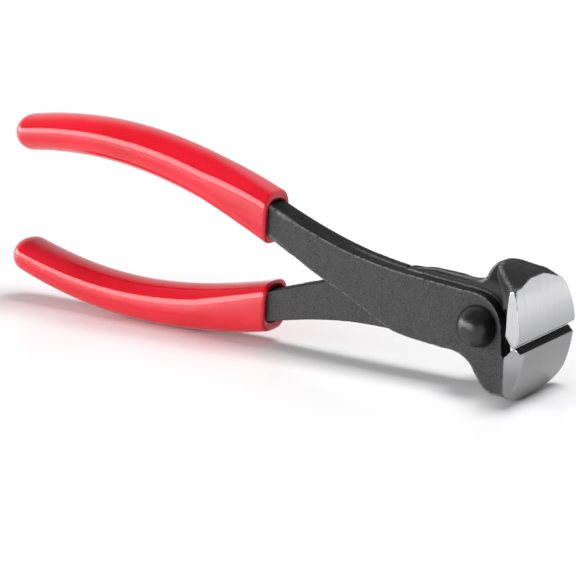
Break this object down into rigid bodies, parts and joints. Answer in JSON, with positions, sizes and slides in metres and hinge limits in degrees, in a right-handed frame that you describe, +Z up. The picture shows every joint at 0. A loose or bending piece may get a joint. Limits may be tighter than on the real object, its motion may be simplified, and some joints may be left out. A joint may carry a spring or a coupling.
{
  "type": "end cutting nippers",
  "caption": "End cutting nippers: crossed forgings on a domed rivet, wide ground jaws at right angles to bowed, dipped handles.",
  "frame": {"origin": "on the bench, under the middle of the box of the closed tool as it stands on edge", "axes": "+X along the tool towards the jaws, +Y along the rivet to the far side, +Z up"},
  "size_m": [0.1858, 0.0294, 0.0595],
  "materials": {
    "forged_steel_near": "dark oxide over fine blasted forging, jaw faces ground bright",
    "forged_steel_far": "dark oxide over fine blasted forging, jaw faces ground bright",
    "rivet_steel": "dark oxide, satin, headed in a die",
    "grip_upper": "glossy dipped vinyl with a rolled lip",
    "grip_lower": "glossy dipped vinyl with a rolled lip"
  },
  "bodies": {
    "far_half": {"far_lever": "forged_steel_far", "lower_grip": "grip_lower"},
    "near_half": {"near_lever": "forged_steel_near", "rivet": "rivet_steel", "upper_grip": "grip_upper"}
  },
  "joints": [
    {"name": "pivot", "type": "hinge", "parent": "far_half", "child": "near_half", "pos_m": [0.07531, 0, 0.01809], "axis": [0, 1, 0], "range_deg": [0, 35]}
  ]
}
